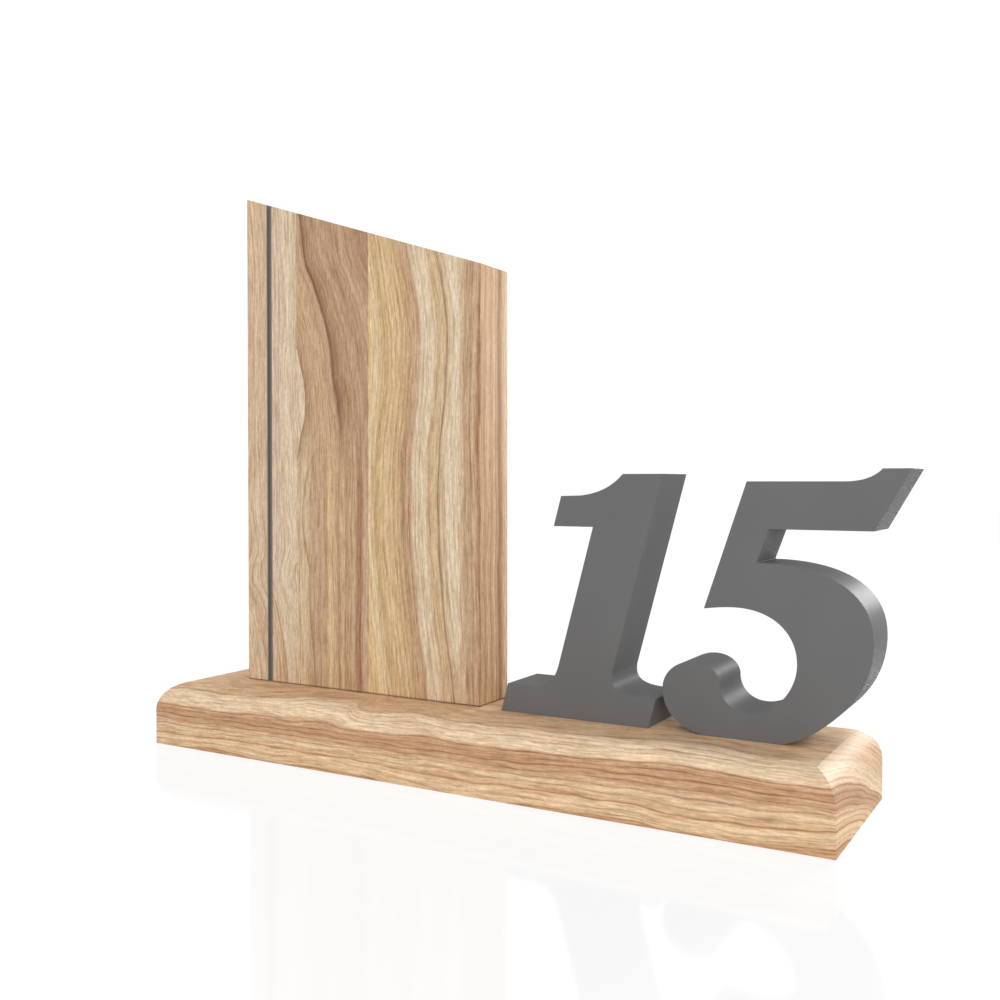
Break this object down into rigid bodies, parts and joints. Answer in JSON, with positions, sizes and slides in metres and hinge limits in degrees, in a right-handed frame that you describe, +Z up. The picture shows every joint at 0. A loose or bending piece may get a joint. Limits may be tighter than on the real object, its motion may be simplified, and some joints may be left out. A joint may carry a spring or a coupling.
{
  "type": "table number holder",
  "caption": "Freestanding table number holder: a round-edged wooden base with a slope-topped glued wooden panel, a thin dark inlaid strip and raised dark grey italic numerals.",
  "frame": {"origin": "middle of the underside of the base plank", "axes": "+X along the base from the panel towards the numerals, +Z up, the front with the readable numerals facing -Y"},
  "size_m": [0.2645, 0.0624, 0.2056],
  "materials": {
    "base_wood": "planed and sealed, satin",
    "stave_1_wood": "planed and sealed, satin",
    "stave_2_wood": "planed and sealed, satin",
    "stave_3_wood": "planed and sealed, satin",
    "stave_4_wood": "planed and sealed, satin",
    "strip_trim": "dark grey, matt",
    "numeral_paint": "dark grey satin paint over board",
    "screw_steel": "zinc plated",
    "dowel_wood": "raw beech"
  },
  "bodies": {
    "root": {"base_plank": "base_wood", "panel_stave_1": "stave_1_wood", "panel_stave_2": "stave_2_wood", "panel_stave_3": "stave_3_wood", "panel_stave_4": "stave_4_wood", "accent_strip": "strip_trim", "numeral_1": "numeral_paint", "numeral_5": "numeral_paint", "panel_screw_1": "screw_steel", "panel_screw_2": "screw_steel", "panel_dowel_1": "dowel_wood", "panel_dowel_2": "dowel_wood", "numeral_1_screw_1": "screw_steel", "numeral_1_screw_2": "screw_steel", "numeral_5_screw_1": "screw_steel", "numeral_5_screw_2": "screw_steel"}
  },
  "joints": []
}
